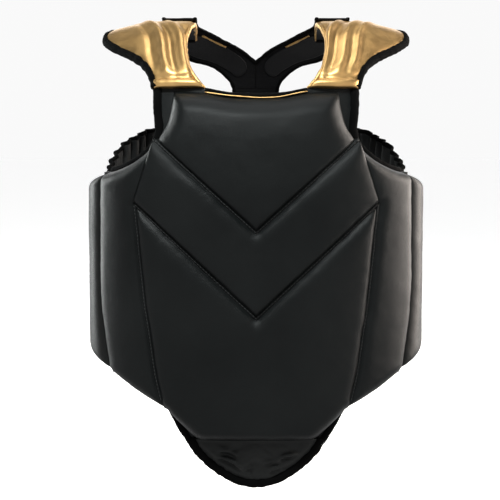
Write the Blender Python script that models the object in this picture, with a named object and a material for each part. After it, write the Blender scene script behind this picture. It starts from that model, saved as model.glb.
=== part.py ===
"""Chest protector: stitched foam pads on a wrap-round lining, gold shoulder yokes, tail flap,
side sections, gathered back wings and a Y-shaped back harness.

Metres, +Z up, front towards -Y. The origin lies midway between the wearer's shoulder tops.
The body pieces are cut flat, in girth along the torso and height, and then wrapped round it.
The shoulder pieces are cut flat, in width and length along a path over the shoulder."""

import math

import bmesh
import bpy
from mathutils import Vector

# Torso section, as a superellipse
HALF_WIDTH = 0.200
HALF_DEPTH = 0.125
SECTION_POWER = 2.6
FACETS_PER_HALF = 27

# The wrapped surface leans back towards the shoulders and at the tail: (height, shift back)
LEAN = ((-0.62, 0.016), (-0.54, 0.0), (-0.20, 0.0), (-0.13, 0.010), (-0.07, 0.027), (0.03, 0.055))

# Underside of the yokes and harness: (back, height) from the front seam over the shoulder
SHOULDER_PATH = (
    (-0.097, -0.078), (-0.086, -0.057), (-0.062, -0.034), (-0.038, -0.013), (-0.012, 0.002),
    (0.008, 0.005), (0.036, -0.001), (0.057, -0.016), (0.082, -0.040), (0.101, -0.066),
    (0.116, -0.095), (0.1300, -0.130), (0.1265, -0.175),
)
SHOULDER_SWEEP = 0.30
SWEEP_FROM = 0.100
CAP_DROOP = 0.25
DROOP_FROM = 0.150

# Layers, counted outwards from the wearer
GAP = 0.0003
LINING = 0.0015
SKIN = 0.0015
PAD = 0.033
SIDE_PAD = 0.028
FRONT_LEAN = 0.0035
FOLD_LEAN = 0.006
SEAM_GAP = 0.0008
FOAM_GAP = 0.0012
FLAP = 0.0065
FLAP_SKIN = 0.0012
WING = 0.0045
ELASTIC = 0.0015
YOKE = 0.009
YOKE_SKIN = 0.0012
PATCH = 0.0015
STRAP = 0.0025
BINDING = 0.006

# Where the pieces end: girth from the front centre, and heights
FOLD_X = 0.203
SIDE_END = 0.258
WING_START = 0.2625
TAB_START = 0.450
FLAP_TOP = -0.5425
PAD_BOTTOM = -0.5385
BACK_PATCH_HALF = 0.051
CLOSURE_GAP = 0.002
HARNESS_HINGE_T = 0.352
HEM_T = -0.005
TAB_FRONT_T = 0.1335
TAB_BACK_T = 0.176

# Outlines of the front, right half: (x, z)
NECKLINE = ((0.0, -0.0860), (0.034, -0.0845), (0.066, -0.0790))
CHEST_TOP = ((0.0, -0.0892), (0.036, -0.0878), (0.068, -0.0823), (0.111, -0.0805))
CHEST_SIDE = ((0.113, -0.100), (0.119, -0.122), (0.131, -0.142))
ARMHOLE = ((0.131, -0.142), (0.147, -0.160), (0.165, -0.173), (0.186, -0.183), (FOLD_X, -0.188))
FLANK_TOP = ((0.153, -0.168), (0.140, -0.172))
UPPER_APEX = (0.0, -0.262)
LOWER_END = (0.156, -0.226)
LOWER_APEX = (0.0, -0.374)
PANEL_SEAM = ((0.152, -0.265), (0.150, -0.290), (0.143, -0.359), (0.138, -0.393), (0.130, -0.450),
              (0.119, -0.4985))
BOTTOM = ((0.101, -0.517), (0.084, -0.532), (0.075, PAD_BOTTOM))
FLANK_BOTTOM = ((0.165, -0.4735),)
FOLD_BOTTOM = (0.192, -0.455)
TAIL_EDGE = ((0.088, FLAP_TOP), (0.084, -0.553), (0.066, -0.573), (0.048, -0.587), (0.008, -0.602))

# Colours: linear red, green, blue; roughness; metallic
BLACK_LEATHER = ((0.012, 0.013, 0.013), 0.42, 0.0)
GOLD_LEATHER = ((0.42, 0.24, 0.075), 0.34, 0.85)
BLACK_FABRIC = ((0.006, 0.006, 0.006), 0.9, 0.0)
LINING_FABRIC = ((0.03, 0.032, 0.033), 0.85, 0.0)
FOAM = ((0.10, 0.10, 0.105), 0.95, 0.0)
HOOK_LOOP = ((0.01, 0.01, 0.01), 0.97, 0.0)


def clear_scene():
    for old in list(bpy.data.objects):
        bpy.data.objects.remove(old, do_unlink=True)


def section_curve(steps=4000):
    """Points round half the torso section, front centre to back centre, with their girth."""
    points = []
    girth = [0.0]
    for i in range(steps + 1):
        angle = -math.pi / 2 + math.pi * i / steps
        c = max(math.cos(angle), 0.0)
        s = math.sin(angle)
        x = HALF_WIDTH * c ** (2 / SECTION_POWER)
        y = math.copysign(HALF_DEPTH * abs(s) ** (2 / SECTION_POWER), s)
        points.append(Vector((x, y)))
    for a, b in zip(points, points[1:]):
        girth.append(girth[-1] + (b - a).length)
    return points, girth


def at_girth(points, girth, s):
    low = 0
    high = len(girth) - 1
    while high - low > 1:
        middle = (low + high) // 2
        if girth[middle] <= s:
            low = middle
        else:
            high = middle
    share = (s - girth[low]) / (girth[high] - girth[low])
    return points[low].lerp(points[high], share)


CURVE, GIRTH = section_curve()
HALF_GIRTH = GIRTH[-1]
FACET = HALF_GIRTH / FACETS_PER_HALF
PATCH_EDGE = HALF_GIRTH - BACK_PATCH_HALF


def corner(k):
    """Corner k of the faceted section. Its girth is (k + 0.5) facets from the front centre."""
    s = (k + 0.5) * FACET
    while s > HALF_GIRTH:
        s -= 2 * HALF_GIRTH
    while s < -HALF_GIRTH:
        s += 2 * HALF_GIRTH
    p = at_girth(CURVE, GIRTH, min(abs(s), HALF_GIRTH))
    return Vector((math.copysign(p.x, s), p.y))


def mitre(before, here, after):
    """Offset direction at a corner, so that both neighbouring facets shift by the same depth."""
    a = (here - before).normalized()
    b = (after - here).normalized()
    normal_a = Vector((a.y, -a.x))
    normal_b = Vector((b.y, -b.x))
    return (normal_a + normal_b) / (1 + normal_a.dot(normal_b))


def piecewise(table, value):
    for (a, at_a), (b, at_b) in zip(table, table[1:]):
        if value <= b:
            return at_a + (at_b - at_a) * (value - a) / (b - a)
    return table[-1][1]


def wrap(s, z, d):
    """A flat point of a body piece, at girth s, height z and depth d, in its place."""
    k = math.floor(s / FACET - 0.5)
    share = s / FACET - 0.5 - k
    ends = []
    for i in (k, k + 1):
        here = corner(i)
        ends.append(here + d * mitre(corner(i - 1), here, corner(i + 1)))
    flat = ends[0].lerp(ends[1], share)
    return Vector((flat.x, flat.y + piecewise(LEAN, z), z))


def shoulder_lengths():
    lengths = [HEM_T]
    for a, b in zip(SHOULDER_PATH, SHOULDER_PATH[1:]):
        lengths.append(lengths[-1] + math.dist(a, b))
    return lengths


SHOULDER_T = shoulder_lengths()


def over_shoulder(x, t, d):
    """A flat point of a shoulder piece, at width x, path length t and depth d, in its place."""
    path = [Vector(p) for p in SHOULDER_PATH]
    path.insert(0, path[0] + (path[0] - path[1]))
    path.append(path[-1] + (path[-1] - path[-2]))
    k = 0
    while k < len(SHOULDER_T) - 2 and t > SHOULDER_T[k + 1]:
        k += 1
    share = (t - SHOULDER_T[k]) / (SHOULDER_T[k + 1] - SHOULDER_T[k])
    ends = []
    for i in (k + 1, k + 2):
        ends.append(path[i] - d * mitre(path[i - 1], path[i], path[i + 1]))
    flat = ends[0].lerp(ends[1], share)
    sweep = SHOULDER_SWEEP * max(abs(x) - SWEEP_FROM, 0.0)
    droop = CAP_DROOP * max(abs(x) - DROOP_FROM, 0.0)
    return Vector((x, flat.x + sweep, flat.y - droop))


def girth_at(x):
    """The girth at which the middle of the pads' thickness is x from the front centre."""
    if x < 0:
        return -girth_at(-x)
    low = 0.0
    high = HALF_GIRTH / 2
    for _ in range(40):
        middle = (low + high) / 2
        if wrap(middle, -0.3, 0.6 * PAD).x < x:
            low = middle
        else:
            high = middle
    return low


def flat_front(points):
    """An outline given in x and z, in girth and height."""
    return [(girth_at(x), z) for x, z in points]


def mirrored(points):
    return [(-x, z) for x, z in reversed(points)]


def both_halves(points):
    """A symmetric closed outline from its right half, which starts and ends on the centre."""
    left = [(-x, z) for x, z in reversed(points) if x > 0]
    return list(points) + left


def area(points):
    return sum(a[0] * b[1] - b[0] * a[1] for a, b in zip(points, points[1:] + points[:1])) / 2


def inset(points, distance):
    """The closed outline moved inwards by the distance, with mitred corners."""
    sign = math.copysign(1.0, area(points))
    result = []
    count = len(points)
    for i, here in enumerate(points):
        before = Vector(points[i - 1])
        after = Vector(points[(i + 1) % count])
        here = Vector(here)
        move = mitre(before, here, after) * -sign * distance
        result.append((here.x + move.x, here.y + move.y))
    return result


def strip(path, width, inward=0.0):
    """The closed outline of a band that runs along the left side of an open path."""
    vectors = [Vector(p) for p in path]
    vectors.insert(0, vectors[0] * 2 - vectors[1])
    vectors.append(vectors[-1] * 2 - vectors[-2])
    near = []
    far = []
    for before, here, after in zip(vectors, vectors[1:], vectors[2:]):
        side = -mitre(before, here, after)
        near.append(tuple(here - inward * side))
        far.append(tuple(here + (width - inward) * side))
    return near + far[::-1]


def ring_faces(bm, first, second):
    count = len(first)
    for i in range(count):
        j = (i + 1) % count
        bm.faces.new((first[i], first[j], second[j], second[i]))


def finish_piece(name, bm, shape, cuts, look):
    """Cuts the flat solid at the facet lines, bends it into place and makes it an object."""
    for axis, values in enumerate(cuts):
        normal = Vector((axis == 0, axis == 1, 0.0))
        low = min(v.co[axis] for v in bm.verts)
        high = max(v.co[axis] for v in bm.verts)
        for value in values:
            if low + 1e-6 < value < high - 1e-6:
                bmesh.ops.bisect_plane(bm, geom=bm.verts[:] + bm.edges[:] + bm.faces[:],
                                       dist=1e-7, plane_co=normal * value, plane_no=normal)
    bmesh.ops.triangulate(bm, faces=bm.faces[:])
    for vertex in bm.verts:
        vertex.co = shape(*vertex.co)
    bmesh.ops.recalc_face_normals(bm, faces=bm.faces[:])
    if bm.calc_volume(signed=True) < 0:
        bmesh.ops.reverse_faces(bm, faces=bm.faces[:])
    mesh = bpy.data.meshes.new(name)
    bm.to_mesh(mesh)
    bm.free()
    mesh.materials.append(material(name, look))
    obj = bpy.data.objects.new(name, mesh)
    bpy.context.scene.collection.objects.link(obj)
    return obj


def material(name, look):
    colour, roughness, metallic = look
    made = bpy.data.materials.new(name)
    made.use_nodes = True
    shader = made.node_tree.nodes["Principled BSDF"]
    shader.inputs["Base Color"].default_value = (*colour, 1.0)
    shader.inputs["Roughness"].default_value = roughness
    shader.inputs["Metallic"].default_value = metallic
    made.diffuse_color = (*colour, 1.0)
    return made


BODY_CUTS = ([(k + 0.5) * FACET for k in range(-60, 60)], [z for z, _ in LEAN])
SHOULDER_CUTS = ([-DROOP_FROM, -SWEEP_FROM, SWEEP_FROM, DROOP_FROM], SHOULDER_T)


def slab(name, outline, low, high, look, lean=0.0, shoulder=False):
    """A solid layer between two depths. Its top outline is inset by lean."""
    bm = bmesh.new()
    bottom = [bm.verts.new((u, v, low)) for u, v in outline]
    top = [bm.verts.new((u, v, high)) for u, v in inset(outline, lean)]
    ring_faces(bm, bottom, top)
    bm.faces.new(bottom)
    bm.faces.new(top)
    shape, cuts = (over_shoulder, SHOULDER_CUTS) if shoulder else (wrap, BODY_CUTS)
    return finish_piece(name, bm, shape, cuts, look)


def shell(name, outline, low, high, look, lean, skin=SKIN):
    """A cover: a skin over the top and down the sloping sides, open towards the wearer."""
    bm = bmesh.new()
    rings = []
    for depth, step in ((low, 0.0), (high, lean), (high - skin, lean + skin), (low, skin)):
        rings.append([bm.verts.new((u, v, depth)) for u, v in inset(outline, step)])
    ring_faces(bm, rings[0], rings[1])
    ring_faces(bm, rings[2], rings[3])
    ring_faces(bm, rings[3], rings[0])
    bm.faces.new(rings[1])
    bm.faces.new(rings[2])
    return finish_piece(name, bm, wrap, BODY_CUTS, look)


def pad(name, outline, thickness, lean):
    """A stitched pad: leather cover and the foam inside it."""
    foot = inset(outline, SEAM_GAP)
    base = LINING + GAP
    shell(name + "_cover", foot, base, thickness, BLACK_LEATHER, lean)
    inner = inset(foot, SKIN + FOAM_GAP)
    slab(name + "_foam", inner, base, thickness - SKIN - GAP, FOAM, lean)


def front_pads():
    chest = CHEST_TOP + CHEST_SIDE + (UPPER_APEX,)
    pad("chest", both_halves(flat_front(chest)), PAD, FRONT_LEAN)
    chevron = (UPPER_APEX, CHEST_SIDE[-1], LOWER_END, LOWER_APEX)
    pad("chevron", both_halves(flat_front(chevron)), PAD, FRONT_LEAN)
    abdomen = (LOWER_APEX, LOWER_END) + PANEL_SEAM + BOTTOM + ((0.0, PAD_BOTTOM),)
    pad("abdomen", both_halves(flat_front(abdomen)), PAD, FRONT_LEAN)


def flank_outline():
    fold = (FOLD_BOTTOM, (FOLD_X, -0.36))
    seam = (LOWER_END,) + PANEL_SEAM
    return flat_front(seam + FLANK_BOTTOM + fold + tuple(reversed(ARMHOLE[2:])) + FLANK_TOP)


def side_outline(end=SIDE_END):
    top = ARMHOLE[-1][1]
    fold = flat_front(((FOLD_X, top), (FOLD_X, -0.36), FOLD_BOTTOM))
    return fold + [(0.232, -0.447), (end, -0.430), (end, -0.196)]


def front_lining():
    fold = (FOLD_BOTTOM, (FOLD_X, -0.36))
    half = NECKLINE + ((0.134, -0.0790), (0.134, -0.122)) + ARMHOLE + fold[::-1]
    half += FLANK_BOTTOM + PANEL_SEAM[-1:] + ((0.107, -0.520), (0.092, PAD_BOTTOM))
    half += ((0.0, PAD_BOTTOM),)
    slab("front_lining", inset(both_halves(flat_front(half)), GAP), 0.0, LINING, LINING_FABRIC)


def front_edges():
    neck = flat_front(mirrored(NECKLINE)[:-1] + list(NECKLINE))
    slab("neck_binding", strip(neck, 0.0045, -GAP), 0.0, 0.012, BLACK_FABRIC)
    piping_path = [(s, z - 0.0003) for s, z in neck]
    slab("neck_piping", strip(piping_path, 0.0024, 0.0024), LINING + GAP, 0.013, GOLD_LEATHER)
    armhole = flat_front(((0.134, -0.0790), (0.134, -0.122)) + ARMHOLE)
    hem = flat_front(((0.119, -0.4985), (0.107, -0.520), (0.092, PAD_BOTTOM)))
    for side, flip in (("left", -1), ("right", 1)):
        for name, path in (("armhole_binding", armhole), ("hem_binding", hem)):
            band = strip(path, BINDING + GAP, -GAP)
            band = [(flip * s, z) for s, z in band]
            slab(f"{side}_{name}", band, 0.0, 0.008, BLACK_FABRIC, lean=0.001)


def tail_flap():
    half = ((0.0, FLAP_TOP),) + TAIL_EDGE + ((0.0, -0.6035),)
    outline = both_halves(flat_front(half))
    slab("tail_lining", outline, 0.0, FLAP_SKIN, LINING_FABRIC)
    slab("tail_batting", outline, FLAP_SKIN + GAP, FLAP - FLAP_SKIN - GAP, FOAM)
    slab("tail_cover", outline, FLAP - FLAP_SKIN, FLAP, BLACK_LEATHER)
    edge = flat_front(TAIL_EDGE + ((0.0, -0.6035),))
    edge = edge + [(-s, z) for s, z in reversed(edge[:-1])]
    slab("tail_binding", strip(edge, 0.0075, -GAP), -0.001, FLAP + 0.001, BLACK_FABRIC)


def wing_heights():
    """Top and bottom edges of a wing: (girth, height)."""
    top = ((WING_START, -0.198), (0.300, -0.181), (0.340, -0.158), (0.380, -0.141), (0.415, -0.136))
    bottom = ((WING_START, -0.424), (0.340, -0.402), (0.415, -0.376))
    return top, bottom


def side_and_wing(side, flip):
    def flipped(points):
        return [(flip * s, z) for s, z in points]

    outline = flipped(side_outline())
    slab(f"{side}_side_lining", inset(outline, SEAM_GAP), 0.0, LINING, LINING_FABRIC)
    pad(f"{side}_side", outline, SIDE_PAD, FOLD_LEAN)
    end = PATCH_EDGE - GAP if flip < 0 else TAB_START - 0.001
    top, bottom = wing_heights()
    panel = top + ((end, -0.136), (end, -0.364)) + bottom[::-1]
    slab(f"{side}_wing_panel", flipped(panel), 0.0, WING, BLACK_FABRIC)
    for name, low in (("upper", -0.225), ("lower", -0.345)):
        band = ((WING_START + 0.004, low), (end - 0.004, low), (end - 0.004, low + 0.03),
                (WING_START + 0.004, low + 0.03))
        slab(f"{side}_{name}_elastic", flipped(band), -GAP - ELASTIC, -GAP, BLACK_FABRIC)


def back_closure():
    far = PATCH_EDGE + 2 * BACK_PATCH_HALF
    patch = [(-PATCH_EDGE, -0.136), (-far, -0.136), (-far, -0.364), (-PATCH_EDGE, -0.364)]
    slab("back_panel", patch, 0.0, WING, BLACK_FABRIC)
    loop = inset(patch, 0.010)
    slab("back_loop_patch", loop, WING + GAP, WING + GAP + PATCH, HOOK_LOOP)
    end = PATCH_EDGE - CLOSURE_GAP
    tab = [(TAB_START, -0.205), (end, -0.205), (end, -0.340), (TAB_START, -0.340)]
    slab("closure_tab", tab, 0.0, WING, BLACK_FABRIC)
    slab("closure_hook_strip", inset(tab, 0.004), -GAP - PATCH, -GAP, HOOK_LOOP)


YOKE_OUTER = ((0.134, HEM_T), (0.140, 0.016), (0.154, 0.038), (0.170, 0.056), (0.184, 0.070),
              (0.199, 0.088), (0.206, 0.106), (0.201, 0.128), (0.184, 0.150), (0.158, 0.172),
              (0.130, 0.184))
YOKE_INNER = ((0.084, 0.184), (0.084, 0.130), (0.090, 0.105), (0.094, 0.070), (0.089, 0.030),
              (0.080, 0.010), (0.068, HEM_T))


def yoke(side, flip):
    def flipped(points):
        return [(flip * x, t) for x, t in points]

    outline = flipped(YOKE_OUTER + YOKE_INNER)
    slab(f"{side}_yoke_lining", outline, 0.0, YOKE_SKIN, LINING_FABRIC, shoulder=True)
    slab(f"{side}_yoke_foam", inset(outline, 0.002), YOKE_SKIN + GAP, YOKE - YOKE_SKIN - GAP, FOAM,
         shoulder=True)
    slab(f"{side}_yoke_cover", outline, YOKE - YOKE_SKIN, YOKE, GOLD_LEATHER, shoulder=True)
    edge = strip(YOKE_INNER[:1] + YOKE_OUTER[::-1], BINDING, -GAP)
    slab(f"{side}_yoke_binding", flipped(edge), -0.0008, YOKE + 0.0008, BLACK_FABRIC, shoulder=True)
    patch = [(0.088, TAB_FRONT_T + 0.002), (0.122, TAB_FRONT_T + 0.002),
             (0.122, TAB_BACK_T - 0.002), (0.088, TAB_BACK_T - 0.002)]
    slab(f"{side}_yoke_loop_patch", flipped(patch), YOKE + GAP, YOKE + GAP + PATCH, HOOK_LOOP,
         shoulder=True)


def harness():
    low = YOKE + PATCH + 2 * GAP
    high = low + STRAP
    arm = [(0.126, TAB_BACK_T + 0.0006), (0.119, 0.205), (0.093, 0.230), (0.062, 0.241),
           (0.038, 0.262), (0.031, 0.277), (GAP, 0.277), (GAP, 0.237), (0.024, 0.214),
           (0.049, 0.1956), (0.074, TAB_BACK_T + 0.0006)]
    tab = [(0.083, TAB_FRONT_T), (0.126, TAB_FRONT_T), (0.126, TAB_BACK_T), (0.083, TAB_BACK_T)]
    for side, flip in (("left", -1), ("right", 1)):
        shape = [(flip * x, t) for x, t in arm]
        slab(f"{side}_harness_arm", shape, low, high, BLACK_FABRIC, shoulder=True)
        shape = [(flip * x, t) for x, t in tab]
        slab(f"{side}_hook_tab", shape, low, high, HOOK_LOOP, shoulder=True)
    band = [(-0.031, 0.2776), (0.031, 0.2776), (0.031, HARNESS_HINGE_T), (-0.031, HARNESS_HINGE_T)]
    slab("harness_band", band, low, high, BLACK_FABRIC, shoulder=True)
    join = [(-0.026, 0.262), (0.0, 0.246), (0.026, 0.262), (0.022, 0.300), (-0.022, 0.300)]
    slab("harness_join_patch", join, high + GAP, high + GAP + PATCH, BLACK_LEATHER, shoulder=True)
    foot = [(-0.031, HARNESS_HINGE_T + 0.0006), (0.031, HARNESS_HINGE_T + 0.0006),
            (0.031, SHOULDER_T[-1]), (-0.031, SHOULDER_T[-1])]
    slab("harness_foot", foot, low, high, BLACK_FABRIC, shoulder=True)


def build():
    clear_scene()
    front_pads()
    flank = flank_outline()
    pad("right_flank", flank, PAD, FOLD_LEAN)
    pad("left_flank", [(-s, z) for s, z in flank], PAD, FOLD_LEAN)
    front_lining()
    front_edges()
    tail_flap()
    for side, flip in (("left", -1), ("right", 1)):
        side_and_wing(side, flip)
        yoke(side, flip)
    back_closure()
    harness()


build()
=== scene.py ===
"""Looks of the chest protector: soft pads, creased gold yokes, gathered wings, bindings and
stitching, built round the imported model. Metres, +Z up, front towards -Y."""

import math

import bmesh
import bpy
import numpy as np
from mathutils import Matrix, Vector, noise
from mathutils.geometry import delaunay_2d_cdt
from mathutils.kdtree import KDTree


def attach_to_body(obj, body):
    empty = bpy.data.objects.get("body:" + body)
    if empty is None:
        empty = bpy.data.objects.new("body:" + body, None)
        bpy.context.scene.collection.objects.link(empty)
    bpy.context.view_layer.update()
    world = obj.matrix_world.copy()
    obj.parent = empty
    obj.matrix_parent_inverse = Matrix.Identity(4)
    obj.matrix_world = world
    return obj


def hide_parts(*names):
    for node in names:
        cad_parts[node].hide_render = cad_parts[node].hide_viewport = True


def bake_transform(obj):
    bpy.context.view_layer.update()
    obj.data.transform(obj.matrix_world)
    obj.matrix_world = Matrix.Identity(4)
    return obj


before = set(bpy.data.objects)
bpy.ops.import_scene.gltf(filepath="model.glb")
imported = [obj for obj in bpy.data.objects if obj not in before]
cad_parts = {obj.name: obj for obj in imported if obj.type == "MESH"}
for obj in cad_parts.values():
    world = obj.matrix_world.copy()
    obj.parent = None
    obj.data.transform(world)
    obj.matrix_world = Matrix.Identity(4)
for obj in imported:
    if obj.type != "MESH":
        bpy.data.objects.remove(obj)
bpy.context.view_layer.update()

# The torso section, the lean and the path over the shoulder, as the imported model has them
HALF_WIDTH = 0.2
HALF_DEPTH = 0.125
SECTION_POWER = 2.6
LEAN = ((-0.62, 0.016), (-0.54, 0.0), (-0.2, 0.0), (-0.13, 0.01), (-0.07, 0.027), (0.03, 0.055))
LEAN_BLUR = 0.012
SHOULDER_PATH = (
    (-0.097, -0.078), (-0.086, -0.057), (-0.062, -0.034), (-0.038, -0.013), (-0.012, 0.002),
    (0.008, 0.005), (0.036, -0.001), (0.057, -0.016), (0.082, -0.04), (0.101, -0.066),
    (0.116, -0.095), (0.13, -0.13), (0.1265, -0.175),
)
HEM_T = -0.005
SHOULDER_SWEEP = 0.3
SWEEP_FROM = 0.1
CAP_DROOP = 0.25
DROOP_FROM = 0.15

# Depths of the layers, counted outwards from the wearer
LINING = 0.0018
PAD = 0.033
SIDE_PAD = 0.0285
YOKE = 0.0092
STRAP_LOW = 0.0111
STRAP_HIGH = 0.0138

# Outlines of the front, right half: (x, z)
NECKLINE = ((0.0, -0.0862), (0.034, -0.0848), (0.068, -0.079))
CHEST_TOP = ((0.0, -0.0892), (0.036, -0.0878), (0.068, -0.0823), (0.111, -0.0805))
CHEST_SIDE = ((0.111, -0.0805), (0.1135, -0.1), (0.119, -0.122), (0.131, -0.142))
ARMHOLE = ((0.131, -0.142), (0.147, -0.16), (0.165, -0.173), (0.186, -0.183), (0.203, -0.188))
UPPER_APEX = (0.0, -0.262)
LOWER_END = (0.156, -0.226)
LOWER_APEX = (0.0, -0.374)
PANEL_SEAM = ((0.156, -0.226), (0.152, -0.265), (0.15, -0.29), (0.143, -0.359),
              (0.138, -0.393), (0.13, -0.45), (0.119, -0.4985))
BOTTOM = ((0.119, -0.4985), (0.101, -0.517), (0.084, -0.532), (0.075, -0.5385))
FLANK_BOTTOM = ((0.192, -0.455), (0.165, -0.4735), (0.143, -0.486), (0.119, -0.4985))
FOLD = ((0.203, -0.188), (0.2035, -0.28), (0.203, -0.36), (0.192, -0.455))
FLAP_TOP = -0.5415
TAIL_EDGE = ((0.09, FLAP_TOP), (0.082, -0.555), (0.064, -0.5735), (0.045, -0.5875),
             (0.024, -0.5985), (0.0, -0.6025))
# Creases of the soft tail: two ends, half width, height
TAIL_CREASES = (((-0.056, -0.561), (-0.016, -0.583), 0.0032, 0.0026),
                ((-0.052, -0.554), (-0.022, -0.564), 0.004, 0.0016),
                ((0.06, -0.56), (0.026, -0.567), 0.0028, 0.0026),
                ((0.034, -0.57), (0.008, -0.573), 0.0026, 0.002),
                ((-0.014, -0.5805), (0.000, -0.5765), 0.002, 0.0018),
                ((0.044, -0.576), (0.014, -0.585), 0.003, 0.0018))
YOKE_OUTER = ((0.134, HEM_T), (0.14, 0.016), (0.154, 0.038), (0.17, 0.056), (0.184, 0.07),
              (0.199, 0.088), (0.206, 0.106), (0.201, 0.128), (0.184, 0.15), (0.158, 0.172),
              (0.13, 0.184))
YOKE_INNER = ((0.084, 0.184), (0.084, 0.13), (0.09, 0.105), (0.094, 0.07), (0.089, 0.03),
              (0.08, 0.01), (0.068, HEM_T))
SIDES = (("left", -1), ("right", 1))


# Spacing along edges and seams, of the rows inside an edge, and the closest allowed
FINE = 0.003
SEAM_STEP = 0.0035
RINGS = (0.0012, 0.003, 0.0055, 0.009)
CROWDED = 0.00095
# Outline points closer than this are one point
SAME_POINT = 4e-4


# ---------------- shapes in place

def lengths_along(path):
    """Length from the start of a path to each of its points."""
    return np.concatenate([[0.0], np.cumsum(np.linalg.norm(np.diff(path, axis=0), axis=1))])


def section_table():
    """Girth, place and outward normal round the whole torso section and a little beyond."""
    angle = np.linspace(-math.pi / 2, math.pi / 2, 3001)
    c = np.clip(np.cos(angle), 0, None)
    s = np.sin(angle)
    x = HALF_WIDTH * c ** (2 / SECTION_POWER)
    y = HALF_DEPTH * np.sign(s) * np.abs(s) ** (2 / SECTION_POWER)
    girth = np.concatenate([[0.0], np.cumsum(np.hypot(np.diff(x), np.diff(y)))])
    half = girth[-1]
    even = np.linspace(0, half, 1200)
    x = np.interp(even, girth, x)
    y = np.interp(even, girth, y)
    girth = np.concatenate([-even[:0:-1], even, 2 * half - even[-2:600:-1]])
    girth = np.concatenate([-(2 * half - even[-2:600:-1])[::-1], girth])
    x = np.concatenate([x[601:-1], -x[:0:-1], x, -x[-2:600:-1]])
    y = np.concatenate([y[601:-1], y[:0:-1], y, y[-2:600:-1]])
    nx = np.gradient(y, girth)
    ny = -np.gradient(x, girth)
    size = np.hypot(nx, ny)
    return girth, x, y, nx / size, ny / size, half


GIRTH, SECTION_X, SECTION_Y, NORMAL_X, NORMAL_Y, HALF_GIRTH = section_table()


def blurred(table, reach, count=800):
    """A piecewise table as (places, values) with its corners rounded."""
    places = np.linspace(table[0][0] - 0.1, table[-1][0] + 0.1, count)
    x, y = np.array(table).T
    values = np.zeros(count)
    for shift in np.linspace(-reach, reach, 9):
        values += np.interp(places + shift, x, y) / 9
    return places, values


LEAN_Z, LEAN_Y = blurred(LEAN, LEAN_BLUR)


def wrap(points):
    """Flat points of a body piece (girth, height, depth) in their places."""
    s, z, d = np.asarray(points, float).T
    x = np.interp(s, GIRTH, SECTION_X) + d * np.interp(s, GIRTH, NORMAL_X)
    y = np.interp(s, GIRTH, SECTION_Y) + d * np.interp(s, GIRTH, NORMAL_Y)
    return np.column_stack([x, y + np.interp(z, LEAN_Z, LEAN_Y), z])


def spline(points, step=FINE, closed=False):
    """A smooth curve through the points, with a point about every step."""
    p = np.asarray(points, float)
    ends = (p[-1:], p[:2]) if closed else (2 * p[:1] - p[1:2], 2 * p[-1:] - p[-2:-1])
    p = np.concatenate([ends[0], p, ends[1]])
    made = []
    for a, b, c, e in zip(p, p[1:], p[2:], p[3:]):
        count = max(int(np.linalg.norm(c - b) / step), 1)
        t = np.linspace(0, 1, count, endpoint=False)[:, None]
        made.append(0.5 * (2 * b + (c - a) * t + (2 * a - 5 * b + 4 * c - e) * t ** 2
                           + (3 * b - a - 3 * c + e) * t ** 3))
    if not closed:
        made.append(p[-2:-1])
    return np.concatenate(made)


def shoulder_table():
    """Path length, place and upward normal along the smoothed path over the shoulder."""
    corners = np.array(SHOULDER_PATH)
    lengths = lengths_along(corners)
    t = np.linspace(lengths[0], lengths[-1], 600)
    y = np.interp(t, lengths, corners[:, 0])
    z = np.interp(t, lengths, corners[:, 1])
    kernel = np.hanning(47)
    kernel /= kernel.sum()
    pad = len(kernel) // 2
    smooth = []
    for values in (y, z):
        ends = (2 * values[0] - values[pad:0:-1], 2 * values[-1] - values[-2:-pad - 2:-1])
        smooth.append(np.convolve(np.concatenate([ends[0], values, ends[1]]), kernel, "valid"))
    y, z = smooth
    ny = -np.gradient(z)
    nz = np.gradient(y)
    size = np.hypot(ny, nz)
    return t + HEM_T, y, z, ny / size, nz / size


PATH_T, PATH_Y, PATH_Z, PATH_NY, PATH_NZ = shoulder_table()


def soft_ramp(values, start, reach=0.012):
    """Zero below start and rising one for one above it, with a rounded corner."""
    u = np.clip((values - start + reach) / (2 * reach), 0, 1)
    return np.where(values > start + reach, values - start, reach * u * u)


def shoulder(points):
    """Flat points of a shoulder piece (width, path length, depth) in their places."""
    x, t, d = np.asarray(points, float).T
    y = np.interp(t, PATH_T, PATH_Y) + d * np.interp(t, PATH_T, PATH_NY)
    z = np.interp(t, PATH_T, PATH_Z) + d * np.interp(t, PATH_T, PATH_NZ)
    y = y + SHOULDER_SWEEP * soft_ramp(np.abs(x), SWEEP_FROM)
    z = z - CAP_DROOP * soft_ramp(np.abs(x), DROOP_FROM)
    return np.column_stack([x, y, z])


FRONT_GIRTH = np.linspace(0, 0.25, 400)
FRONT_X = wrap(np.column_stack([FRONT_GIRTH, np.full(400, -0.3), np.full(400, 0.6 * PAD)]))[:, 0]


def girth_at(x):
    return np.sign(x) * np.interp(np.abs(x), FRONT_X, FRONT_GIRTH)


def front(points):
    """An outline given in x and z, in girth and height."""
    p = np.asarray(points, float)
    return np.column_stack([girth_at(p[:, 0]), p[:, 1]])


LEFT = (-1, 1)


def mirror(points):
    """The left half of a path, travelled so that it joins onto the right half."""
    return np.asarray(points)[::-1] * LEFT


def handed(outline, flip):
    """A right-hand outline on its own side, in the same direction of travel."""
    return outline if flip > 0 else mirror(outline)


def raised(path, depth):
    """A flat path with the same depth all along, or its own depth at each point."""
    return np.column_stack([path, np.broadcast_to(depth, len(path))])


# ---------------- meshes

def make(name, vertices, faces, material, smooth=True):
    mesh = bpy.data.meshes.new(name)
    mesh.from_pydata([tuple(v) for v in vertices], [], [tuple(f) for f in faces])
    mesh.validate()
    mesh.materials.append(material)
    if smooth:
        mesh.shade_smooth()
    obj = bpy.data.objects.new(name, mesh)
    bpy.context.scene.collection.objects.link(obj)
    return obj


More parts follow.
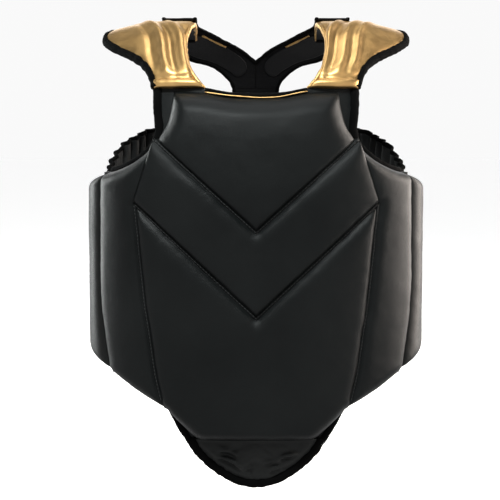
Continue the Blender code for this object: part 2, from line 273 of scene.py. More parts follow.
def distance(points, path, closed=False):
    """Distance from each flat point to a polyline."""
    path = np.asarray(path)
    if closed:
        path = np.concatenate([path, path[:1]])
    best = np.full(len(points), np.inf)
    for a, b in zip(path, path[1:]):
        run = b - a
        share = np.clip(((points - a) @ run) / max(run @ run, 1e-18), 0, 1)
        best = np.minimum(best, np.linalg.norm(points - (a + share[:, None] * run), axis=1))
    return best


def even(path, step):
    """The open path resampled at even spacing."""
    path = np.asarray(path)
    lengths = lengths_along(path)
    count = max(int(round(lengths[-1] / step)), 1)
    at = np.linspace(0, lengths[-1], count + 1)
    return np.column_stack([np.interp(at, lengths, path[:, i]) for i in range(path.shape[1])])


def smooth_path(points, closed=False):
    """A smooth curve through the points, evenly spaced."""
    return even(spline(points, FINE, closed), FINE)


def fill(outline, step):
    """Flat points and triangles that fill a closed outline, finer towards its edge."""
    count = len(outline)
    run = np.roll(outline, -1, axis=0) - np.roll(outline, 1, axis=0)
    size = np.linalg.norm(run, axis=1)
    x, y = outline.T
    turn = np.sign((x * np.roll(y, -1) - np.roll(x, -1) * y).sum())
    inward = np.column_stack([-run[:, 1], run[:, 0]]) / size[:, None] * turn
    points = [outline]
    for ring in RINGS:
        ringed = outline + ring * inward
        points.append(ringed[distance(ringed, outline, True) > 0.9 * ring])
    low = outline.min(axis=0)
    high = outline.max(axis=0)
    rows = np.arange(low[1] + step / 3, high[1], step * 0.87)
    grid = []
    for i, row in enumerate(rows):
        columns = np.arange(low[0] + step * (0.3 + 0.5 * (i % 2)), high[0], step)
        grid.append(np.column_stack([columns, np.full(len(columns), row)]))
    grid = np.concatenate(grid)
    points.append(grid[distance(grid, outline, True) > RINGS[-1] + 0.6 * step])
    points = np.concatenate(points)
    tree = KDTree(len(points))
    for i, p in enumerate(points):
        tree.insert((*p, 0), i)
    tree.balance()
    crowded = set()
    for i in range(count, len(points)):
        near = [j for _, j, _ in tree.find_range((*points[i], 0), CROWDED)]
        if any(j < i and j not in crowded for j in near):
            crowded.add(i)
    points = points[[i for i in range(len(points)) if i not in crowded]]
    edges = [(i, (i + 1) % count) for i in range(count)]
    out = delaunay_2d_cdt([Vector(p) for p in points], edges, [], 1, 1e-7)
    flat = np.array([tuple(v) for v in out[0]])
    return flat, [tuple(f) for f in out[2]]


def rim(faces):
    """The boundary edges of a triangle list, each in its face's direction."""
    directed = {(f[i], f[(i + 1) % 3]) for f in faces for i in range(3)}
    return [(a, b) for a, b in directed if (b, a) not in directed]


def layer(name, outline, top, bottom, material, place=wrap, step=0.004):
    """A closed solid between two depth functions over a flat outline."""
    flat, faces = fill(outline, step)
    a, b, c = (flat[[f[i] for f in faces]] for i in range(3))
    area = (b - a)[:, 0] * (c - a)[:, 1] - (b - a)[:, 1] * (c - a)[:, 0]
    faces = [f if up else f[::-1] for f, up in zip(faces, area > 0)]
    high = top(flat) if callable(top) else np.full(len(flat), top)
    low = bottom(flat) if callable(bottom) else np.full(len(flat), bottom)
    count = len(flat)
    solid = np.concatenate([np.column_stack([flat, high]), np.column_stack([flat, low])])
    every = list(faces) + [tuple(i + count for i in f[::-1]) for f in faces]
    every += [(b, a, a + count, b + count) for a, b in rim(faces)]
    return make(name, place(solid), every, material)


def tube(count, sides, base=0, closed=False):
    """Faces of a tube of rings, with its two ends unless it is closed."""
    faces = []
    for i in range(count if closed else count - 1):
        j = (i + 1) % count
        for k in range(sides):
            m = (k + 1) % sides
            faces.append([base + ring * sides + n for ring, n in ((i, k), (i, m), (j, m), (j, k))])
    if not closed:
        faces.append([base + k for k in reversed(range(sides))])
        faces.append([base + (count - 1) * sides + k for k in range(sides)])
    return faces


def sweep(name, path, width, height, material, place=wrap, sides=12, flat=2.6, ripple=0.0,
          closed=False):
    """A rounded band of the given width and height along a path of flat points with depth."""
    path = np.asarray(path, float)
    if closed:
        ahead = np.roll(path, -1, axis=0) - np.roll(path, 1, axis=0)
    else:
        ahead = np.gradient(path, axis=0)
    ahead = ahead[:, :2] / np.linalg.norm(ahead[:, :2], axis=1)[:, None]
    across = np.column_stack([-ahead[:, 1], ahead[:, 0]])
    rings = []
    for here, side in zip(path, across):
        grow = 1 + ripple * noise_at(*(here[:2] * 160), 3.1)
        ring = []
        for k in range(sides):
            turn = 2 * math.pi * k / sides
            c, s = math.cos(turn), math.sin(turn)
            u = math.copysign(abs(c) ** (2 / flat), c) * width / 2 * grow
            v = math.copysign(abs(s) ** (2 / flat), s) * height / 2 * grow
            ring.append((here[0] + side[0] * u, here[1] + side[1] * u, here[2] + v))
        rings.append(ring)
    vertices = place(np.array(rings).reshape(-1, 3))
    return fix_normals(make(name, vertices, tube(len(rings), sides, closed=closed), material))


def fix_normals(obj):
    """Turns the faces of a closed mesh outwards."""
    bm = bmesh.new()
    bm.from_mesh(obj.data)
    bmesh.ops.recalc_face_normals(bm, faces=bm.faces[:])
    if bm.calc_volume(signed=True) < 0:
        bmesh.ops.reverse_faces(bm, faces=bm.faces[:])
    bm.to_mesh(obj.data)
    bm.free()
    return obj


def noise_at(*place):
    return noise.noise(Vector(place))


def fractal(points, scale, seed, stretch=(1, 1), octaves=3):
    """Smooth noise from -1 to 1 over flat points."""
    values = []
    for u, v in np.asarray(points)[:, :2]:
        total = 0.0
        size = 1.0
        rate = scale
        for _ in range(octaves):
            total += size * noise_at(u * rate * stretch[0], v * rate * stretch[1], seed)
            size *= 0.5
            rate *= 2.1
        values.append(total / 1.6)
    return np.array(values)


# ---------------- materials

def put(node, inputs):
    """Sets a node's inputs, each to a value or to another node's output."""
    for key, value in inputs.items():
        if isinstance(value, bpy.types.NodeSocket):
            node.id_data.links.new(value, node.inputs[key])
        else:
            node.inputs[key].default_value = value


def surface(name, colour, roughness, metallic=0.0, sheen=0.0, specular=0.5):
    """A material with its node tree and its shader."""
    made = bpy.data.materials.new(name)
    made.use_nodes = True
    shader = made.node_tree.nodes["Principled BSDF"]
    put(shader, {"Base Color": (*colour, 1), "Roughness": roughness, "Metallic": metallic,
                 "Sheen Weight": sheen, "Sheen Roughness": 0.5, "Specular IOR Level": specular})
    return made, made.node_tree, shader


def add(tree, kind, inputs=None, **settings):
    node = tree.nodes.new(kind)
    for key, value in settings.items():
        setattr(node, key, value)
    put(node, inputs or {})
    return node


def stretched(tree, scale=(1, 1, 1)):
    """Object coordinates, scaled."""
    coordinates = add(tree, "ShaderNodeTexCoord").outputs["Object"]
    mapping = add(tree, "ShaderNodeMapping", {"Scale": scale, "Vector": coordinates})
    return mapping.outputs["Vector"]


def noise_value(tree, scale, detail=3.0, stretch=(1, 1, 1), roughness=0.5):
    place = stretched(tree, stretch)
    return add(tree, "ShaderNodeTexNoise", {
        "Scale": scale, "Detail": detail, "Roughness": roughness, "Vector": place,
    }).outputs["Fac"]


def ranged(tree, value, low, high, start=0.3, stop=0.7):
    """The value from start to stop as a value from low to high."""
    return add(tree, "ShaderNodeMapRange", {
        "From Min": start, "From Max": stop, "To Min": low, "To Max": high, "Value": value,
    }).outputs["Result"]


def tinted(tree, shader, value, dark, light):
    mix = add(tree, "ShaderNodeMix", {0: value, 6: (*dark, 1), 7: (*light, 1)}, data_type="RGBA")
    put(shader, {"Base Color": mix.outputs[2]})


def bumps(tree, shader, layers):
    """Stacks (height, depth, strength) bumps on the shader's normal."""
    below = {}
    for value, depth, strength in layers:
        bump = add(tree, "ShaderNodeBump",
                   {"Distance": depth, "Strength": strength, "Height": value, **below})
        below = {"Normal": bump.outputs["Normal"]}
    put(shader, below)


def grain(tree, size):
    """Leather cells of the given size, in metres."""
    cells = add(tree, "ShaderNodeTexVoronoi", {
        "Scale": 1 / size, "Randomness": 0.9, "Vector": stretched(tree),
    }, feature="DISTANCE_TO_EDGE")
    return ranged(tree, cells.outputs["Distance"], 0, 1, 0.0, 0.12)


def leather(name, dark, light, rough, creases=1.0):
    made, tree, shader = surface(name, dark, rough[0], specular=0.12)
    tinted(tree, shader, ranged(tree, noise_value(tree, 9, 4), 0, 1), dark, light)
    put(shader, {"Roughness": ranged(tree, noise_value(tree, 14, 5), *rough)})
    bumps(tree, shader, (
        (noise_value(tree, 26, 4), 0.004, 0.1 * creases),
        (noise_value(tree, 120, 5, roughness=0.65), 0.0012, 0.22 * creases),
        (grain(tree, 0.0011), 0.0002, 0.3),
    ))
    return made


def gold(name):
    made, tree, shader = surface(name, (0.5, 0.29, 0.1), 0.3, metallic=0.92)
    shade = ranged(tree, noise_value(tree, 22, 4, (1, 1, 0.4)), 0, 1, 0.35, 0.68)
    tinted(tree, shader, shade, (0.47, 0.285, 0.108), (0.6, 0.375, 0.145))
    put(shader, {"Roughness": ranged(tree, noise_value(tree, 60, 4), 0.36, 0.49)})
    bumps(tree, shader, (
        (noise_value(tree, 30, 3), 0.004, 0.1),
        (noise_value(tree, 110, 2), 0.001, 0.12),
    ))
    return made


def woven(name, dark, light, pitch, rough=0.88, sheen=0.02, fuzz=0.0, shine=0.08):
    """Cloth of threads at the given pitch, in metres."""
    made, tree, shader = surface(name, dark, rough, sheen=sheen, specular=shine)
    total = 0
    for axis in "XYZ":
        wave = add(tree, "ShaderNodeTexWave", {
            "Scale": 1 / pitch / 20, "Distortion": 0.6, "Detail": 1.0,
            "Vector": stretched(tree, (20 / math.pi,) * 3),
        }, wave_type="BANDS", bands_direction=axis)
        plus = add(tree, "ShaderNodeMath", {0: total, 1: wave.outputs["Fac"]}, operation="ADD")
        total = plus.outputs["Value"]
    tinted(tree, shader, ranged(tree, noise_value(tree, 18, 4), 0, 1), dark, light)
    layers = [(total, 0.0004, 0.35), (noise_value(tree, 60, 3), 0.002, 0.15)]
    if fuzz:
        layers.append((noise_value(tree, 900, 2), 0.0012, fuzz))
    bumps(tree, shader, layers)
    return made


LEATHER = leather("black_leather", (0.0038, 0.0046, 0.0047), (0.0068, 0.0078, 0.0078), (0.33, 0.48))
SIDE_LEATHER = leather("side_leather", (0.005, 0.0054, 0.0053), (0.0085, 0.009, 0.0086),
                       (0.32, 0.46))
TAIL_LEATHER = leather("tail_leather", (0.0085, 0.0092, 0.009), (0.013, 0.0138, 0.0134),
                       (0.34, 0.48), creases=1.8)
HARNESS_LEATHER = leather("harness_leather", (0.008, 0.008, 0.0085), (0.015, 0.015, 0.016),
                          (0.38, 0.52), creases=1.6)
GOLD = gold("gold_leather")
LINING_CLOTH = woven("lining_cloth", (0.008, 0.0087, 0.0092), (0.014, 0.0148, 0.0152), 0.0011,
                     shine=0.05)
BINDING = woven("binding_tape", (0.0018, 0.0018, 0.0018), (0.004, 0.004, 0.004), 0.0009,
                sheen=0.005, shine=0.02)
WING_CLOTH = woven("wing_cloth", (0.006, 0.0064, 0.0064), (0.012, 0.0126, 0.0126), 0.0008, 0.58,
                   shine=0.14)
STRAP_CLOTH = woven("strap_cloth", (0.0045, 0.0045, 0.005), (0.0085, 0.0085, 0.009), 0.0013,
                    shine=0.05)
ELASTIC = woven("elastic", (0.007, 0.007, 0.0075), (0.013, 0.013, 0.0135), 0.0016, sheen=0.03)
HOOK_LOOP = woven("hook_loop", (0.004, 0.004, 0.004), (0.009, 0.009, 0.009), 0.002, 0.97, 0.03, 0.9)
THREAD = woven("thread", (0.03, 0.031, 0.031), (0.05, 0.051, 0.051), 0.0006, 0.6, 0.02)


# ---------------- pads

# How edges roll down: (drop, reach, flat width at the foot)
SEAM_ABOVE = (0.0075, 0.0065, 0.0023)
SEAM_BELOW = (0.0075, 0.016, 0.0023)
SEAM_SIDE = (0.007, 0.0095, 0.002)
SEAM_END = (0.0032, 0.013, 0.0)
SEAM_FLOOR = PAD - 0.007
ROLL = (0.03, 0.026, 0.0)
SIDE_ROLL = (0.029, 0.018, 0.0)
FOLD_GROOVE = (0.015, 0.018, 0.0)
HEM_ROLL = (0.029, 0.016, 0.0)
CROWN_REACH = 0.035
PUCKER = 0.0016
FOLD_GIRTH = 0.2045
FOLD_REACH = 0.013
UNDULATION = 0.001
THINNEST = 0.0035
PAD_STEP = 0.0045


def pillow(edges, full, crown, seed):
    """Depth over flat points: full height, rolled down along each (path, shape) edge."""
    def depth(flat):
        nearest = np.full(len(flat), np.inf)
        drops = np.zeros(len(flat))
        for path, (drop, reach, foot) in edges:
            away = distance(flat, path)
            nearest = np.minimum(nearest, away)
            share = np.clip((away - foot) / reach, 0, 1)
            drops += (drop * (1 - np.sqrt(1 - (1 - share) ** 2))) ** 3
        rise = 1 - np.exp(-nearest / CROWN_REACH)
        high = full + crown * rise + UNDULATION * rise * 2 * fractal(flat, 22, seed)
        high += PUCKER * fractal(flat, 75, seed + 3, octaves=2) * np.exp(-nearest / 0.011)
        return np.maximum(high - np.cbrt(drops), THINNEST)
    return depth


def join(*paths):
    """One closed outline from paths that follow each other end to end."""
    points = []
    for path in paths:
        for p in np.asarray(path):
            if not points or np.linalg.norm(p - points[-1]) > SAME_POINT:
                points.append(p)
    if np.linalg.norm(points[0] - points[-1]) < SAME_POINT:
        points.pop()
    return np.array(points)


def curve(points, step=SEAM_STEP):
    """A smooth edge of the front, from its points in x and z."""
    return even(front(spline(points, step)), step)


def straight(a, b):
    """A straight seam of the front, from its ends in x and z."""
    return even(front(even([a, b], 0.02)), SEAM_STEP)


def whole(right):
    """A path from the left end to the right end, from its right half from the centre out."""
    return np.concatenate([mirror(right)[:-1], right])


PATHS = {
    "neck": whole(curve(CHEST_TOP)),
    "chest_side": curve(CHEST_SIDE),
    "upper_v": straight(UPPER_APEX, CHEST_SIDE[-1]),
    "chevron_end": straight(CHEST_SIDE[-1], LOWER_END),
    "lower_v": straight(LOWER_APEX, LOWER_END),
    "panel_seam": curve(PANEL_SEAM),
    "bottom": curve(BOTTOM),
    "hem": straight((0.0, BOTTOM[-1][1]), BOTTOM[-1]),
    "flank_bottom": curve(FLANK_BOTTOM),
    "fold": curve(FOLD),
    "armhole": curve(ARMHOLE),
}


def both(name, shape):
    """Pillow edges along a path given for the right side, on both sides."""
    return [(PATHS[name] * LEFT, shape), (PATHS[name], shape)]


def fold_hinge(side, flip):
    """The two bodies and two points of a side fold, given to the pieces that cross it."""
    near = wrap([(flip * (FOLD_GIRTH - FOLD_REACH), -0.3, 0.004)])[0]
    far = wrap([(flip * (FOLD_GIRTH + FOLD_REACH), -0.3, 0.004)])[0]
    return "front_panel", f"{side}_side", tuple(near), tuple(far)


def front_pads():
    """The three sewn pads of the front and the two flank pads."""
    p = PATHS
    upper = whole(p["upper_v"])
    lower = whole(p["lower_v"])
    hem = whole(p["hem"])
    chest = join(p["neck"], p["chest_side"], upper[::-1], mirror(p["chest_side"]))
    edges = [(p["neck"], ROLL), (upper, SEAM_ABOVE), *both("chest_side", ROLL)]
    pads = [("chest", chest, pillow(edges, PAD, 0.002, 1.5))]
    chevron = join(upper, p["chevron_end"], lower[::-1], mirror(p["chevron_end"]))
    edges = [(upper, SEAM_BELOW), (lower, SEAM_ABOVE), *both("chevron_end", SEAM_END)]
    pads.append(("chevron", chevron, pillow(edges, PAD, 0.0015, 4.5)))
    abdomen = join(lower, p["panel_seam"], p["bottom"], hem[::-1], mirror(p["bottom"]),
                   mirror(p["panel_seam"]))
    edges = [(lower, SEAM_BELOW), (hem, HEM_ROLL), *both("panel_seam", SEAM_SIDE),
             *both("bottom", SIDE_ROLL)]
    pads.append(("abdomen", abdomen, pillow(edges, PAD, 0.003, 7.5)))
    flank = join(p["chevron_end"], p["panel_seam"], p["flank_bottom"][::-1], p["fold"][::-1],
                 p["armhole"][::-1])
    edges = [(p["chevron_end"], SEAM_END), (p["panel_seam"], SEAM_SIDE),
             (p["flank_bottom"], SIDE_ROLL), (p["fold"], FOLD_GROOVE), (p["armhole"], SIDE_ROLL)]
    for side, flip in SIDES:
        turned = [(path * (flip, 1), size) for path, size in edges]
        pads.append((f"{side}_flank", handed(flank, flip),
                     pillow(turned, PAD - 0.001, 0.001, 10.5 + flip)))
    hinges = {f"{side}_flank": fold_hinge(side, flip) for side, flip in SIDES}
    for part, outline, depth in pads:
        obj = layer(f"{part}_pad", outline, depth, LINING, LEATHER, step=PAD_STEP)
        attach(obj, hinges.get(part, "front_panel"),
               (f"{part}_cover", f"{part}_foam"))
    seam_strip("upper_seam", upper)
    seam_strip("lower_seam", lower)
    for side, flip in SIDES:
        seam_strip(f"{side}_panel_seam", p["panel_seam"][:-4] * (flip, 1))


STITCH = 0.0034
STITCH_PITCH = 0.0048
THREAD_SIZE = 0.0009
# How far each ring of a stitch stands above its row, and its share of the thread's size
STITCH_RINGS = ((-0.0007, 0.5), (0, 0.9), (0.00025, 1), (0.00025, 1), (0, 0.9), (-0.0007, 0.5))
# Width and height of the strip in the bottom of a seam
STRIP = (0.0032, 0.0024)


def stitches(name, path):
    """A row of thread stitches along a path of flat points with depth."""
    sides = 6
    lengths = lengths_along(path)
    vertices = []
    faces = []
    for start in np.arange(STITCH_PITCH / 2, lengths[-1] - STITCH, STITCH_PITCH):
        at = start + STITCH * np.linspace(0, 1, len(STITCH_RINGS))
        middle = np.column_stack([np.interp(at, lengths, path[:, i]) for i in range(3)])
        run = middle[-1] - middle[0]
        across = np.array([-run[1], run[0], 0]) / max(np.hypot(run[0], run[1]), 1e-9)
        base = len(vertices)
        for here, (lift, share) in zip(middle, STITCH_RINGS):
            for k in range(sides):
                turn = 2 * math.pi * k / sides
                ring = here + across * math.cos(turn) * THREAD_SIZE / 2 * share
                vertices.append(ring + (0, 0, lift + math.sin(turn) * THREAD_SIZE / 2 * share))
        faces += tube(len(STITCH_RINGS), sides, base)
    obj = fix_normals(make(name, wrap(np.array(vertices)), faces, THREAD))
    attach(obj, "front_panel")


def seam_strip(name, path):
    """The stitched strip in the bottom of a seam."""
    strip = sweep(f"{name}_strip", raised(path, SEAM_FLOOR), *STRIP, LEATHER, ripple=0.1)
    attach(strip, "front_panel")
    stitches(f"{name}_stitches", raised(path, SEAM_FLOOR + STRIP[1] / 2 + 0.0001))


def attach(obj, body, nodes=()):
    """Rides a piece on a body, or bakes its place in when it is given two, and replaces its CAD
    nodes.
    """
    if isinstance(body, str):
        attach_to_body(obj, body)
    else:
        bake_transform(obj)
    if nodes:
        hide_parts(*nodes)


# Binding tapes: width, height and unevenness
NECK_TAPE = (0.0052, 0.012, 0.15)
ARMHOLE_TAPE = (0.0118, 0.0092, 0.15)
HEM_TAPE = (0.0095, 0.0085, 0.2)
TAIL_TAPE = (0.0125, 0.0108, 0.2)
YOKE_TAPE = (0.0085, 0.0112, 0.25)
STRAP_TAPE = (0.0055, 0.0042, 0.2)
WING_TAPE = (0.0062, 0.0046, 0.3)
PATCH_TAPE = (0.007, 0.0058, 0.15)
CLOSURE_TAPE = (0.0052, 0.005, 0.15)


def tape(name, path, depth, size, body, nodes=(), place=wrap, closed=False):
    """A binding tape along an edge."""
    width, height, ripple = size
    obj = sweep(name, raised(path, depth), width, height, BINDING, place, ripple=ripple,
                closed=closed)
    attach(obj, body, nodes)


# Girth at which the side sections end
SIDE_END = 0.258


def side_pads():
    fold = PATHS["fold"]
    high = (SIDE_END, -0.197)
    low = (SIDE_END, -0.428)
    top = even([high, fold[0]], SEAM_STEP)
    end = even([low, high], SEAM_STEP)
    bottom = even(spline([fold[-1], (0.215, -0.449), (0.24, -0.441), low]), SEAM_STEP)
    outline = join(fold, bottom, end, top)
    edges = [(fold, FOLD_GROOVE), (bottom, SIDE_ROLL), (end, (0.025, 0.018, 0.0)), (top, SIDE_ROLL)]
    for side, flip in SIDES:
        turned = [(path * (flip, 1), size) for path, size in edges]
        shape = handed(outline, flip)
        obj = layer(f"{side}_side_pad", shape, pillow(turned, SIDE_PAD, 0.001, 20.5 + flip), LINING,
                    SIDE_LEATHER, step=PAD_STEP)
        hinge = fold_hinge(side, flip)
        attach(obj, hinge, (f"{side}_side_cover", f"{side}_side_foam"))
        inner = layer(f"{side}_side_inner", shape, LINING, 0.0, LINING_CLOTH, step=0.008)
        attach(inner, hinge, (f"{side}_side_lining",))
        web = sweep(f"{side}_fold_web", raised(fold * (flip, 1), 0.01), 0.008, 0.0165,
                    SIDE_LEATHER)
        attach(web, hinge)


# Depth of the neck edge, and the thickness of the gold piping along it
NECK_DEPTH = 0.0055
PIPING = 0.0018


def front_base():
    """The leather sheet under the pads, seen as a margin at the armholes, and the lining."""
    p = PATHS
    margin = curve(((0.068, -0.079), (0.072, -0.0755), (0.13, -0.0755), (0.134, -0.077)))
    strap = curve(((0.134, -0.077), (0.1335, -0.105), (0.131, -0.13), (0.135, -0.147),
                   (0.148, -0.161), (0.165, -0.173), (0.186, -0.183), (0.203, -0.188)))
    low = curve(((0.1165, -0.4985), (0.1055, -0.518), (0.089, -0.5425)))
    hem = straight((0.0, -0.5385), (0.092, -0.5385))
    right = [curve(NECKLINE), margin, strap[strap[:, 0] < FOLD_GIRTH - FOLD_REACH],
             p["fold"] - (FOLD_REACH, 0), p["flank_bottom"][3:], low]
    outline = join(*right, hem[::-1], (hem * LEFT)[1:], *[mirror(x) for x in right[::-1]])
    attach(layer("front_base", outline, 0.0042, LINING, LEATHER, step=0.007), "front_panel")
    attach(layer("front_inner", outline, LINING, 0.0, LINING_CLOTH, step=0.007), "front_panel",
           ("front_lining",))
    neck = whole(curve(NECKLINE))
    tape("neck_tape", neck + (0, 0.0008), NECK_DEPTH, NECK_TAPE, "front_panel", ("neck_binding",))
    sag = 0.0016 + 0.0008 * np.sin(70 * neck[:, 0] + 0.6)
    line = np.column_stack([neck[:, 0], neck[:, 1] - sag])
    pipe = sweep("gold_piping", raised(line, NECK_DEPTH + 0.0052), PIPING, PIPING, GOLD, flat=2.0,
                 ripple=0.5)
    attach(pipe, "front_panel", ("neck_piping",))
    for side, flip in SIDES:
        tape(f"{side}_armhole_tape", strap * (flip * 1.01, 1), 0.0038, ARMHOLE_TAPE, "front_panel",
             (f"{side}_armhole_binding",))
        tape(f"{side}_hem_tape", low * (flip, 1), 0.0035, HEM_TAPE, "front_panel",
             (f"{side}_hem_binding",))


# ---------------- tail flap

def crease(flat, first, last, width, height):
    """A ridge with a hollow below it along a straight line, fading out at both ends."""
    first, last = np.array(first), np.array(last)
    along = last - first
    length = np.linalg.norm(along)
    along = along / length
    across = np.array([-along[1], along[0]]) * (1 if along[0] > 0 else -1)
    share = ((flat - first) @ along) / length
    bow = 0.1 * length * 4 * (share * (1 - share))
    away = (flat - first) @ across - bow
    fade = np.clip(np.minimum(share, 1 - share) / 0.3, 0, 1)
    fade = fade * fade * (3 - 2 * fade)
    ridge = np.exp(-((away - 0.6 * width) / width) ** 2)
    hollow = np.exp(-((away + 0.6 * width) / (0.6 * width)) ** 2)
    return height * fade * (ridge - hollow)


def tail_flap():
    half = ((0.092, -0.5375),) + TAIL_EDGE
    edge = curve(half + tuple((-x, z) for x, z in half[-2::-1]), FINE)
    outline = join(edge, even([edge[-1], edge[0]], FINE))

    def depth(flat):
        away = distance(flat, edge)
        near_rim = np.exp(-away / 0.02)
        turned = np.column_stack([flat[:, 0], flat[:, 1] + 0.55 * np.abs(flat[:, 0])])
        soft = 1 - 2.4 * np.abs(fractal(turned, 24, 31.5, (0.8, 1.5)))
        pucker = fractal(flat, 80, 33.5, (1.0, 0.6), 2) * near_rim
        notch = np.exp(-((flat[:, 0] + 0.005 + 0.4 * (flat[:, 1] + 0.585)) / 0.0022) ** 2)
        notch *= np.clip((-0.572 - flat[:, 1]) / 0.01, 0, 1)
        seam = np.exp(-np.abs(flat[:, 1] - FLAP_TOP) / 0.005)
        swell = 0.0022 * (1 - np.exp(-away / 0.012))
        folds = sum(crease(flat, *spec) for spec in TAIL_CREASES)
        limit = 0.0064 + 0.7 * np.maximum(away - 0.0085, 0)
        high = 0.0074 + swell + 0.003 * soft * (1 - seam) + 0.0026 * pucker - 0.0024 * notch
        high += 2.1 * folds - 0.0015 * seam
        return np.maximum(np.minimum(high, limit), 0.003)

    hinge = ("front_panel", "tail_flap", (0, -0.1277, -0.5375), (0, -0.1277, -0.5475))
    pad = layer("tail_flap_pad", outline, depth, 0.0014, TAIL_LEATHER, step=0.0028)
    attach(pad, hinge, ("tail_cover", "tail_batting"))
    inner = layer("tail_inner", outline, 0.0014, 0.0, LINING_CLOTH, step=0.007)
    attach(inner, hinge, ("tail_lining",))
    seam = straight((-0.09, -0.5405), (0.09, -0.5405))
    web = sweep("tail_seam", raised(seam, 0.0032), 0.0075, 0.0055, TAIL_LEATHER)
    attach(web, hinge)
    inward = np.array([0, -0.545]) - edge
    middle = edge + 0.003 * inward / np.linalg.norm(inward, axis=1)[:, None]
    tape("tail_tape", middle, 0.004, TAIL_TAPE, hinge, ("tail_binding",))


# ---------------- yokes

# Long folds of each yoke: place across it, half width, height
YOKE_FOLDS = {
    -1: ((0.084, 0.005, 0.0034), (0.101, 0.0035, -0.0022), (0.112, 0.006, 0.0044),
         (0.128, 0.004, -0.002)),
    1: ((0.079, 0.0042, 0.004), (0.09, 0.004, -0.0026), (0.104, 0.006, 0.0036),
        (0.121, 0.0045, 0.003)),
}


def yokes():
    outer = smooth_path(YOKE_OUTER)
    inner = smooth_path(YOKE_INNER)
    back = even([outer[-1], inner[0]], FINE)
    outline = join(outer, back, inner, even([inner[-1], outer[0]], FINE))
    for side, flip in SIDES:
        seed = 41.5 + 3 * flip

        def depth(flat, flip=flip, seed=seed):
            right = flat * (flip, 1)
            rim_away = np.minimum(distance(right, outer), distance(right, inner))
            drop = 0.0048 * (1 - np.sqrt(1 - (1 - np.clip(rim_away / 0.009, 0, 1)) ** 2))
            wave = 0.006 * np.sin(right[:, 1] * 42 + seed)
            u = right[:, 0] - (wave + 0.35 * np.maximum(right[:, 1] - 0.02, 0))
            folds = np.zeros(len(flat))
            for place, width, height in YOKE_FOLDS[flip]:
                folds += height * np.exp(-((u - place) / width) ** 2)
            rise = np.clip((right[:, 1] - HEM_T - 0.01) / 0.022, 0, 1)
            fade = np.clip((0.15 - right[:, 1]) / 0.05, 0, 1)
            hem_away = right[:, 1] - HEM_T
            near_hem = np.exp(-((hem_away - 0.016) / 0.014) ** 2)
            tucks = fractal(right, 70, seed + 4, (1.0, 0.75), 2) * near_hem
            slack = fractal(right, 26, seed, (1.0, 0.45), 2)
            roll = 0.0034 * np.exp(-((hem_away - 0.0058) / 0.005) ** 2)
            groove = 0.003 * np.exp(-((hem_away - 0.0135) / 0.003) ** 2)
            under = right[:, 1] > 0.128
            quiet = np.where(under, 0.35, 1.0)
            high = YOKE + (folds * rise * fade + 0.0016 * tucks + 0.0008 * slack) * quiet
            return np.minimum(high + roll - groove - drop, np.where(under, YOKE - 0.0002, 1.0))

        turned = handed(outline, flip)
        hinge = ("front_panel", f"{side}_yoke", (flip * 0.1, -0.0835, -0.088),
                 (flip * 0.1, -0.08, -0.072))
        cover = layer(f"{side}_yoke_pad", turned, depth, 0.0015, GOLD, shoulder, 0.0026)
        attach(cover, hinge, (f"{side}_yoke_cover", f"{side}_yoke_foam"))
        lining = layer(f"{side}_yoke_inner", turned, 0.0015, 0.0, HARNESS_LEATHER, shoulder,
                       0.006)
        attach(lining, hinge, (f"{side}_yoke_lining",))
        tape(f"{side}_yoke_tape", np.concatenate([outer, back[1:]]) * (flip, 1), 0.0042, YOKE_TAPE,
             hinge, (f"{side}_yoke_binding",), shoulder)
        pipe = sweep(f"{side}_yoke_edge", raised(inner * (flip, 1), 0.0036), 0.005, 0.0072, GOLD,
                     shoulder, ripple=0.3)
        attach(pipe, hinge)
        patch = rectangle(0.088, 0.122, 0.1355, 0.174, flip)
        loop = layer(f"{side}_yoke_loop", patch, 0.0108, 0.0088, HOOK_LOOP, shoulder, 0.004)
        attach(loop, f"{side}_yoke", (f"{side}_yoke_loop_patch",))


def rectangle(u0, u1, v0, v1, flip=1, step=0.004, corner=0.004):
    """A flat outline with rounded corners."""
    made = []
    for cu, cv, start in ((u1, v1, 0), (u0, v1, 90), (u0, v0, 180), (u1, v0, 270)):
        du = corner if cu == u0 else -corner
        dv = corner if cv == v0 else -corner
        for turn in (0, 30, 60, 90):
            angle = math.radians(start + turn)
            made.append((cu + du + corner * math.cos(angle), cv + dv + corner * math.sin(angle)))
    made.append(made[0])
    path = even(np.array(made), step)[:-1]
    return path * (flip, 1)


# ---------------- back harness

# Flat outlines of an arm of the harness, its leather facing and its gold line, right half
ARM_END = 0.277
ARM_OUTER = ((0.126, 0.134), (0.126, 0.1766), (0.119, 0.205), (0.093, 0.23), (0.062, 0.241),
             (0.038, 0.262), (0.031, ARM_END))
ARM_INNER = ((-0.0008, 0.237), (0.024, 0.214), (0.049, 0.1956), (0.074, 0.1766), (0.083, 0.165),
             (0.083, 0.134))
ARM_FACE = ((0.113, 0.188), (0.108, 0.206), (0.09, 0.2235), (0.06, 0.2345), (0.04, 0.2475),
            (0.026, 0.258), (0.014, 0.25), (0.015, 0.234), (0.03, 0.218), (0.054, 0.201),
            (0.076, 0.187), (0.095, 0.1855))
ARM_GOLD = ((0.0745, 0.185), (0.064, 0.1925), (0.053, 0.2), (0.042, 0.2075))
STRAP_MIDDLE = (STRAP_LOW + STRAP_HIGH) / 2
# Half the width of the centre band, and its two ends along the path
BAND_HALF = 0.031
BAND_ENDS = (0.2755, 0.3755)


def strap_top(rim_path, seed, high=STRAP_HIGH):
    """Depth of a strap or patch: a stitched-down rim and a faint unevenness."""
    def depth(flat):
        drop = 0.001 * np.exp(-distance(flat, rim_path, True) / 0.0012)
        return high - drop + 0.0005 * fractal(flat, 45, seed)
    return depth


